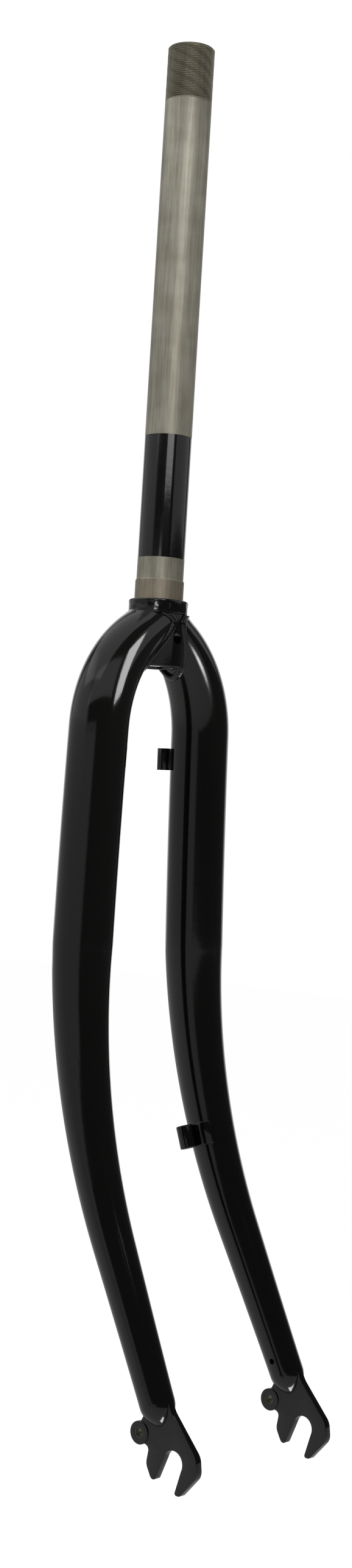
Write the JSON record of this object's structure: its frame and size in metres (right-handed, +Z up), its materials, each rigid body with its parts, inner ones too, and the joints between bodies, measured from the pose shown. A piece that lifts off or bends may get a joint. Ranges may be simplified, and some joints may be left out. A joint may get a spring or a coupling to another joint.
{
  "type": "bicycle fork",
  "caption": "Steel bicycle fork with a threaded steerer, curved tapered blades, slotted dropouts with eyelets and cable guides.",
  "frame": {"origin": "on the steering axis, at the shoulder that the headset's crown race sits on", "axes": "+Z up the steerer, +X forward, the way the blades curve, +Y to the rider's left"},
  "size_m": [0.1257, 0.122, 0.7497],
  "materials": {
    "steerer_steel": "bare drawn steel, grey, with black paint on the band above the race seat and on the crown",
    "black_paint": "gloss black enamel on steel"
  },
  "bodies": {
    "root": {"steerer": "steerer_steel", "blade_left": "black_paint", "blade_right": "black_paint", "dropout_left": "black_paint", "dropout_right": "black_paint", "crown_weld_left": "black_paint", "crown_weld_right": "black_paint", "upper_cable_guide": "black_paint", "lower_cable_stop": "black_paint", "stop_saddle": "black_paint"}
  },
  "joints": []
}
